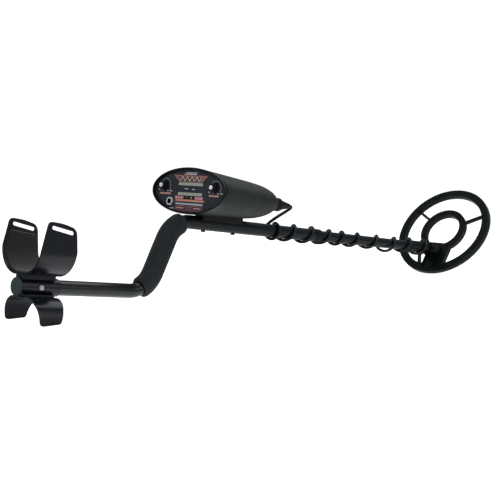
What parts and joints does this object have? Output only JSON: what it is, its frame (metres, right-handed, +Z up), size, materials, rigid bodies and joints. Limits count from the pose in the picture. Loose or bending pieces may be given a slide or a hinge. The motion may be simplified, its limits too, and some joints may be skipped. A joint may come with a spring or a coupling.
{
  "type": "metal detector",
  "caption": "Hand-held metal detector: bent rod with foam grip, arm cup and stand, control housing on a saddle, telescoping stem and a tilting open-ring search coil.",
  "frame": {"origin": "middle of the footprint box on the ground, with the stand and the coil rim resting on it", "axes": "+X forward towards the search coil, +Y to the user's left, +Z up"},
  "size_m": [1.119, 0.2032, 0.2156],
  "materials": {
    "black_painted_tube": "semi-gloss black paint",
    "foam": "matte closed-cell foam",
    "moulded_black": "satin moulded",
    "pad_fabric": "coarse matte textile",
    "slate_cap": "matte",
    "bright_steel": "zinc plated",
    "dark_steel": "black oxide",
    "housing_plastic": "fine textured",
    "panel_black": "satin",
    "label_sheet": "satin printed sheet",
    "clear_window": "clear",
    "display_glass": "grey-green display",
    "red_lens": "translucent",
    "knob_black": "satin",
    "white_cap": "gloss",
    "aluminium": "machined",
    "tinned_steel": "tinned",
    "board_green": "solder mask",
    "key_pink": "printed membrane",
    "chrome_nut": "polished",
    "paper_cone": "pressed paper",
    "battery_can": "printed jacket",
    "lead_black": "pvc",
    "cable_rubber": "satin pvc",
    "coil_plastic": "satin moulded",
    "copper": "enamelled copper wire"
  },
  "bodies": {
    "frame": {"s_rod": "black_painted_tube", "foam_grip": "foam", "armrest": "moulded_black", "arm_pad": "pad_fabric", "rear_cap": "slate_cap", "armrest_screw": "bright_steel", "armrest_nut": "bright_steel", "saddle": "moulded_black", "housing_screws": "dark_steel", "housing_nuts": "bright_steel", "housing_shell": "housing_plastic", "face_panel": "panel_black", "face_label": "label_sheet", "display_windows": "clear_window", "display_modules": "display_glass", "indicator_led": "red_lens", "potentiometers": "tinned_steel", "circuit_board": "board_green", "key_switches": "board_green", "headphone_jack": "moulded_black", "jack_nut": "chrome_nut", "speaker_basket": "tinned_steel", "speaker_cone": "paper_cone", "batteries": "battery_can", "battery_snaps": "moulded_black", "inner_leads": "lead_black", "speaker_lead": "lead_black", "coil_socket": "moulded_black", "socket_nut": "bright_steel", "plug_body": "moulded_black", "plug_boot": "cable_rubber", "cable_upper": "cable_rubber", "stem_bushing": "moulded_black"},
    "left_knob": {"knob_left": "knob_black", "knob_cap_left": "white_cap", "pot_shaft_left": "aluminium"},
    "right_knob": {"knob_right": "knob_black", "knob_cap_right": "white_cap", "pot_shaft_right": "aluminium"},
    "left_key": {"key_left": "key_pink"},
    "right_key": {"key_right": "key_pink"},
    "battery_hatch": {"battery_door": "housing_plastic"},
    "coil_plug_ring": {"plug_ring": "moulded_black"},
    "stem_lock": {"lock_collar": "moulded_black"},
    "stem": {"lower_stem": "black_painted_tube", "stem_plug": "moulded_black", "stem_tip": "moulded_black", "cable_lower": "cable_rubber", "cable_tail": "cable_rubber", "pivot_washers": "cable_rubber"},
    "coil": {"coil_top": "coil_plastic", "coil_bottom": "coil_plastic", "transmit_winding": "copper", "receive_winding": "copper", "coil_gland": "cable_rubber", "pivot_bolt": "moulded_black"},
    "pivot_nut": {"thumb_nut": "knob_black"}
  },
  "joints": [
    {"name": "stem_slide", "type": "slide", "parent": "frame", "child": "stem", "axis": [0.9935, 0, -0.1139], "range_m": [0, 0.15]},
    {"name": "coil_tilt", "type": "hinge", "parent": "stem", "child": "coil", "pos_m": [0.44344, 0, 0.0518], "axis": [0, -1, 0], "range_deg": [-50, 60], "deforming": ["cable_tail"]},
    {"name": "pivot_nut_turn", "type": "hinge", "parent": "coil", "child": "pivot_nut", "pos_m": [0.44344, 0, 0.0518], "axis": [0, -1, 0], "range_deg": [-180, 180]},
    {"name": "stem_lock_turn", "type": "hinge", "parent": "frame", "child": "stem_lock", "pos_m": [0.08089, 0, 0.09336], "axis": [0.9935, 0, -0.1139], "range_deg": [0, 120]},
    {"name": "plug_ring_turn", "type": "hinge", "parent": "frame", "child": "coil_plug_ring", "pos_m": [-0.07206, -0.04, 0.15519], "axis": [0.9935, 0, -0.1139], "range_deg": [0, 90]},
    {"name": "left_knob_turn", "type": "hinge", "parent": "frame", "child": "left_knob", "pos_m": [-0.23566, 0.057, 0.18562], "axis": [0.9935, 0, -0.1139], "range_deg": [-135, 135]},
    {"name": "right_knob_turn", "type": "hinge", "parent": "frame", "child": "right_knob", "pos_m": [-0.23566, -0.057, 0.18562], "axis": [0.9935, 0, -0.1139], "range_deg": [-135, 135]},
    {"name": "left_key_press", "type": "slide", "parent": "frame", "child": "left_key", "axis": [0.9935, 0, -0.1139], "range_m": [0, 0.0008], "stiffness_N_per_m": 1500},
    {"name": "right_key_press", "type": "slide", "parent": "frame", "child": "right_key", "axis": [0.9935, 0, -0.1139], "range_m": [0, 0.0008], "stiffness_N_per_m": 1500},
    {"name": "battery_door_off", "type": "slide", "parent": "frame", "child": "battery_hatch", "axis": [-0.1139, 0, -0.9935], "range_m": [0, 0.02]}
  ]
}
